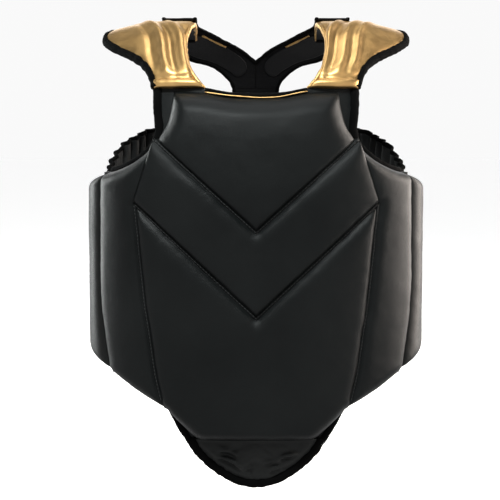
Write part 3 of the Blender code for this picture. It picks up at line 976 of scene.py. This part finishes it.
def harness():
    """The two arms with their hook tabs, the centre band and the patch that joins them."""
    outer = smooth_path(ARM_OUTER)
    inner = smooth_path(ARM_INNER)
    corner = (inner[0, 0], ARM_END)
    outline = join(outer, even([outer[-1], corner], FINE), even([corner, inner[0]], FINE), inner,
                   even([inner[-1], outer[0]], FINE))
    for side, flip in SIDES:
        turned = handed(outline, flip)
        hinge = ("back_harness", f"{side}_hook_tab", (flip * 0.105, 0.0695, -0.003),
                 (flip * 0.105, 0.0555, 0.006))
        strap = layer(f"{side}_harness_strap", turned, strap_top(turned, 51.5 + flip), STRAP_LOW,
                      STRAP_CLOTH, shoulder, SEAM_STEP)
        attach(strap, hinge, (f"{side}_harness_arm", f"{side}_hook_tab"))
        facing = layer(f"{side}_harness_facing", handed(smooth_path(ARM_FACE, True), flip),
                       STRAP_LOW + 0.0004, STRAP_LOW - 0.0006, HARNESS_LEATHER, shoulder)
        attach(facing, "back_harness")
        gold_path = raised(smooth_path(ARM_GOLD) * (flip, 1), STRAP_LOW - 0.0006)
        line = sweep(f"{side}_harness_gold", gold_path, 0.0026, 0.0016, GOLD, shoulder,
                     ripple=0.6)
        attach(line, "back_harness")
        for name, path in (("outer", outer), ("inner", inner)):
            tape(f"{side}_harness_{name}_tape", path * (flip, 1), STRAP_MIDDLE, STRAP_TAPE, hinge,
                 place=shoulder)
    outline = rectangle(-BAND_HALF, BAND_HALF, *BAND_ENDS, corner=0.001)
    hinge = ("left_wing", "back_harness", (0, 0.1416, -0.166), (0, 0.1416, -0.148))
    band = layer("harness_centre_band", outline, strap_top(outline, 57.5), STRAP_LOW, STRAP_CLOTH,
                 shoulder, SEAM_STEP)
    attach(band, hinge, ("harness_band", "harness_foot"))
    for side, flip in SIDES:
        edge = even([(flip * BAND_HALF, end) for end in BAND_ENDS], FINE)
        tape(f"{side}_band_tape", edge, STRAP_MIDDLE, STRAP_TAPE, hinge, place=shoulder)
    patch = even([(-0.026, 0.262), (0.0, 0.246), (0.026, 0.262), (0.022, 0.3), (-0.022, 0.3),
                  (-0.026, 0.262)], FINE)[:-1]
    join_patch = layer("harness_patch", patch, strap_top(patch, 58.5, 0.0158), 0.0136,
                       HARNESS_LEATHER, shoulder, SEAM_STEP)
    attach(join_patch, "back_harness", ("harness_join_patch",))


# ---------------- wings and back closure

# Edges of the wings: girth and height. The left one is wider, as it carries the back panel
WING_START = 0.2555
WING_ENDS = {"left": HALF_GIRTH - 0.0513, "right": 0.4492}
WING_TOP = ((WING_START, -0.199), (0.2625, -0.198), (0.3, -0.181), (0.34, -0.158),
            (0.38, -0.141), (0.415, -0.136), (0.55, -0.136))
WING_BOTTOM = ((WING_START, -0.425), (0.2625, -0.424), (0.34, -0.402), (0.415, -0.376),
               (0.45, -0.364), (0.55, -0.364))
ELASTIC_ROWS = {"upper": -0.21, "lower": -0.33}
ELASTIC_WIDTH = 0.03
PLEAT = 0.015


def pleats(s, z, seed):
    """Depth of the gathered cloth at girth s and height z."""
    def uneven(across, along, seed):
        return np.array([noise_at(u * across, v * along, seed) for u, v in zip(s, z)])

    wander = uneven(22, 16, seed)
    rough = uneven(85, 30, seed + 5)
    hold = np.zeros(len(s))
    for row in ELASTIC_ROWS.values():
        hold = np.maximum(hold, np.exp(-((z - row) / 0.016) ** 2))
    phase = 2 * math.pi * (s / PLEAT + 0.8 * wander)
    wave = np.sin(phase) + 0.35 * np.sin(2 * phase + 3 * wander)
    return 0.0024 + (0.0027 - 0.001 * hold) * wave + 0.0024 * rough - 0.0006 * hold


def quilt(name, s_values, low, high, rows, depth, thickness, material):
    """A thin closed cloth on a grid: columns at s_values, between two heights at each."""
    columns = len(s_values)
    share = np.linspace(0, 1, rows)
    s = np.repeat(s_values, rows)
    z = (np.repeat(low, rows) + np.tile(share, columns) * np.repeat(high - low, rows))
    d = depth(s, z)
    outer = wrap(np.column_stack([s, z, d]))
    under = wrap(np.column_stack([s, z, d - thickness]))
    count = len(outer)
    faces = []
    for i in range(columns - 1):
        for j in range(rows - 1):
            a = i * rows + j
            faces.append((a, a + 1, a + rows + 1, a + rows))
            b = a + count
            faces.append((b, b + rows, b + rows + 1, b + 1))
    border = [i * rows for i in range(columns)]
    border += [(columns - 1) * rows + j for j in range(1, rows)]
    border += [i * rows + rows - 1 for i in range(columns - 2, -1, -1)]
    border += list(range(rows - 2, 0, -1))
    for a, b in zip(border, border[1:] + border[:1]):
        faces.append((a, b, b + count, a + count))
    return fix_normals(make(name, np.concatenate([outer, under]), faces, material))


def wings():
    """Gathered cloth with a tape along its top and bottom and two elastic bands inside."""
    for side, flip in SIDES:
        end = WING_ENDS[side]
        columns = np.arange(WING_START, end, 0.0013)
        top = np.interp(columns, *np.array(WING_TOP).T)
        bottom = np.interp(columns, *np.array(WING_BOTTOM).T)
        seed = 61.5 + 2 * flip

        def depth(s, z, seed=seed):
            """Flat where the wing is sewn on, and pleated from there on."""
            start = np.clip((np.abs(s) - WING_START) / 0.012, 0.15, 1)
            return 0.0016 + (pleats(np.abs(s), z, seed) - 0.0016) * start

        hinge = (f"{side}_side", f"{side}_wing", (flip * 0.2042, -0.015, -0.3),
                 (flip * 0.2042, -0.004, -0.3))
        cloth = quilt(f"{side}_wing_cloth", flip * columns, bottom, top, 48, depth, 0.0016,
                      WING_CLOTH)
        attach(cloth, hinge, (f"{side}_wing_panel",))
        for name, edge in (("top", top), ("bottom", bottom)):
            tape(f"{side}_wing_{name}_tape", np.column_stack([flip * columns, edge]),
                 depth(columns, edge) - 0.0008, WING_TAPE, hinge)
        run = np.arange(WING_START + 0.01, end - 0.003, 0.0015)
        for name, row in ELASTIC_ROWS.items():

            def inside(s, z, seed=seed, row=row):
                return -0.0012 + 0.25 * (pleats(np.abs(s), z * 0 + row, seed) - 0.0022)

            middle = np.full(len(run), row)
            band = quilt(f"{side}_{name}_elastic_band", flip * run, middle - ELASTIC_WIDTH / 2,
                         middle + ELASTIC_WIDTH / 2, 9, inside, 0.0014, ELASTIC)
            attach(band, f"{side}_wing", (f"{side}_{name}_elastic",))


def back_closure():
    """The back panel on the left wing, and the closure tab of the right one."""
    near = HALF_GIRTH - 0.051
    far = HALF_GIRTH + 0.051
    edge = rectangle(near, far, -0.364, -0.136, -1)
    panel = layer("back_patch", edge[::-1], strap_top(edge, 71.5, 0.0046), 0.0, WING_CLOTH,
                  step=0.006)
    attach(panel, "left_wing", ("back_panel",))
    tape("back_patch_tape", edge, 0.0022, PATCH_TAPE, "left_wing", closed=True)
    shape = rectangle(near + 0.01, far - 0.01, -0.354, -0.146, -1)
    loop = layer("back_loop", shape[::-1], 0.0064, 0.004, HOOK_LOOP, step=0.008)
    attach(loop, "left_wing", ("back_loop_patch",))
    outline = rectangle(0.4455, near - 0.0022, -0.34, -0.205)
    hinge = ("right_wing", "closure_tab", (0.096, 0.1215, -0.27), (0.087, 0.124, -0.27))
    tab = layer("closure_flap", outline, strap_top(outline, 72.5, 0.0047), 0.0006, STRAP_CLOTH)
    attach(tab, hinge, ("closure_tab",))
    tape("closure_tape", outline, 0.0026, CLOSURE_TAPE, hinge, closed=True)
    shape = rectangle(0.454, near - 0.006, -0.336, -0.209)
    hook = layer("closure_hook", shape, 0.0008, -0.0016, HOOK_LOOP, step=0.006)
    attach(hook, "closure_tab", ("closure_hook_strip",))


# ---------------- stage

# How bright the world is to the camera, and to other rays: below, above, between these slopes
SEEN_WORLD = 0.95
WORLD_LIGHT = (0.82, 0.12, 0.22, 0.5)
FLOOR_SIZE = 9
FLOOR_Z = -0.66
FLOOR_GLOW = 0.725
# The camera's place and aim in metres, its lens and sensor in millimetres
EYE = (-0.008, -2.4, -0.045)
EYE_AIM = (-0.008, 0, -0.3)
LENS = 126
SENSOR = 36


def aimed(obj, place, aim):
    """Puts a lamp or camera in place, looking at its aim."""
    obj.location = place
    obj.rotation_euler = (Vector(aim) - Vector(place)).to_track_quat("-Z", "Y").to_euler()
    bpy.context.scene.collection.objects.link(obj)


def light(name, place, aim, size, power, colour=(1, 1, 1)):
    data = bpy.data.lights.new(name, "AREA")
    data.shape = "RECTANGLE"
    data.size, data.size_y = size
    data.energy = power
    data.color = colour
    aimed(bpy.data.objects.new(name, data), place, aim)


def stage():
    """World, floor, camera and lights. Bounce and reflection rays don't see the bright floor."""
    scene = bpy.context.scene
    scene.view_settings.view_transform = "Standard"
    world = bpy.data.worlds.new("studio")
    world.use_nodes = True
    tree = world.node_tree
    backdrop = tree.nodes["Background"]
    direction = add(tree, "ShaderNodeTexCoord").outputs["Generated"]
    height = add(tree, "ShaderNodeSeparateXYZ", {"Vector": direction}).outputs["Z"]
    seen = add(tree, "ShaderNodeLightPath").outputs["Is Camera Ray"]
    lit = ranged(tree, height, *WORLD_LIGHT)
    mix = add(tree, "ShaderNodeMix", {0: seen, 2: lit, 3: SEEN_WORLD})
    put(backdrop, {"Color": (1, 1, 1, 1), "Strength": mix.outputs[0]})
    scene.world = world
    plate, tree, shader = surface("floor_white", (0.93, 0.93, 0.93), 0.7, specular=0.1)
    put(shader, {"Emission Color": (1, 1, 1, 1), "Emission Strength": FLOOR_GLOW})
    value = ranged(tree, noise_value(tree, 3), 0, 1)
    tinted(tree, shader, value, (0.92, 0.92, 0.92), (0.95, 0.95, 0.95))
    corners = ((-FLOOR_SIZE, -FLOOR_SIZE), (FLOOR_SIZE, -FLOOR_SIZE), (FLOOR_SIZE, FLOOR_SIZE),
               (-FLOOR_SIZE, FLOOR_SIZE))
    floor = make("floor", [(x, y, FLOOR_Z) for x, y in corners], [(0, 1, 2, 3)], plate, False)
    floor.visible_glossy = False
    floor.visible_diffuse = False
    camera = bpy.data.cameras.new("camera")
    camera.lens = LENS
    camera.sensor_width = SENSOR
    eye = bpy.data.objects.new("camera", camera)
    aimed(eye, EYE, EYE_AIM)
    scene.camera = eye
    light("key", (-0.25, -1.2, 1.25), (0, 0, -0.12), (0.9, 0.3), 44, (0.94, 1, 1))
    light("right_panel", (1.6, 0.45, 0.0), (0, 0, -0.3), (1.9, 1.3), 84, (1, 0.9, 0.82))
    light("left_panel", (-1.6, 1.0, 0.0), (0, 0, -0.3), (0.5, 1.2), 34, (0.95, 1, 0.98))
    light("back", (0, 1.7, 0.6), (0, 0, -0.2), (1.6, 0.8), 10)
    light("top", (0, 0.2, 1.5), (0, 0, 0), (1.2, 0.3), 10)


front_pads()
front_base()
side_pads()
tail_flap()
yokes()
harness()
wings()
back_closure()
stage()
